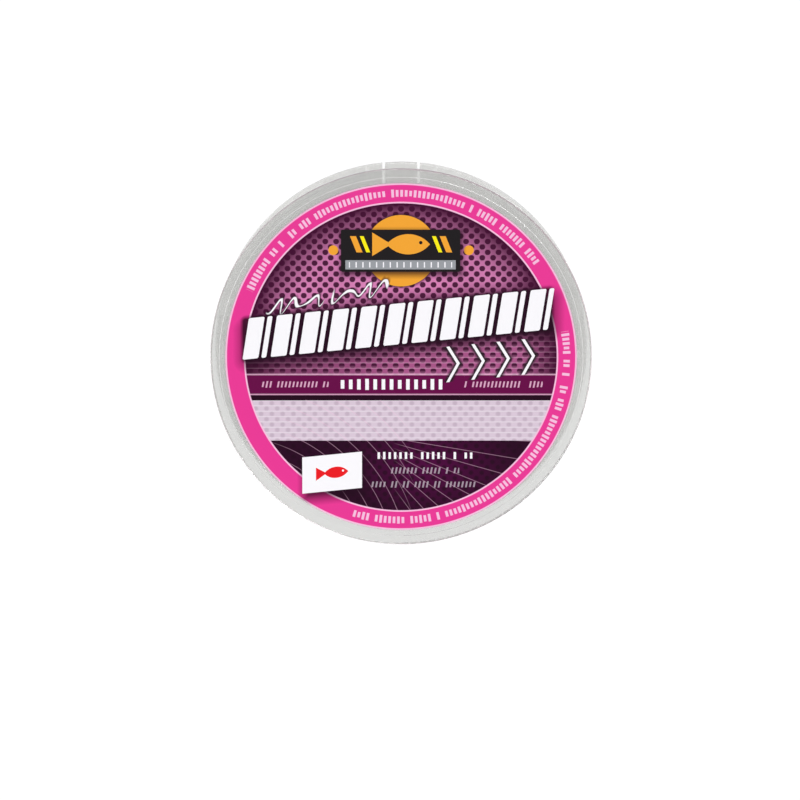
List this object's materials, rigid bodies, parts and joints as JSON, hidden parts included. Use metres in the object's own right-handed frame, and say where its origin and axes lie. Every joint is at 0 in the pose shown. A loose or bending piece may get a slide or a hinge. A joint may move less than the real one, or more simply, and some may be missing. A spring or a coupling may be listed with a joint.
{
  "type": "fishing line spool",
  "caption": "Round leader spool with two clear flanges on a ribbed hub, fine pale line wound between them and a printed label.",
  "frame": {"origin": "on the spool's axis, in the plane that the rear rim rests on", "axes": "+Z along the axis from the rear flange to the labelled front flange, +Y towards the top of the label"},
  "size_m": [0.07, 0.07, 0.0137],
  "materials": {
    "clear_plastic": "moulded clear polystyrene, polished",
    "line": "translucent pale pink monofilament",
    "label": "printed film, gloss laminated",
    "tape": "clear adhesive film"
  },
  "bodies": {
    "root": {"front_flange": "clear_plastic", "rear_flange": "clear_plastic", "hub_drum": "clear_plastic", "line_winding": "line", "start_tape": "tape", "front_label": "label"}
  },
  "joints": []
}
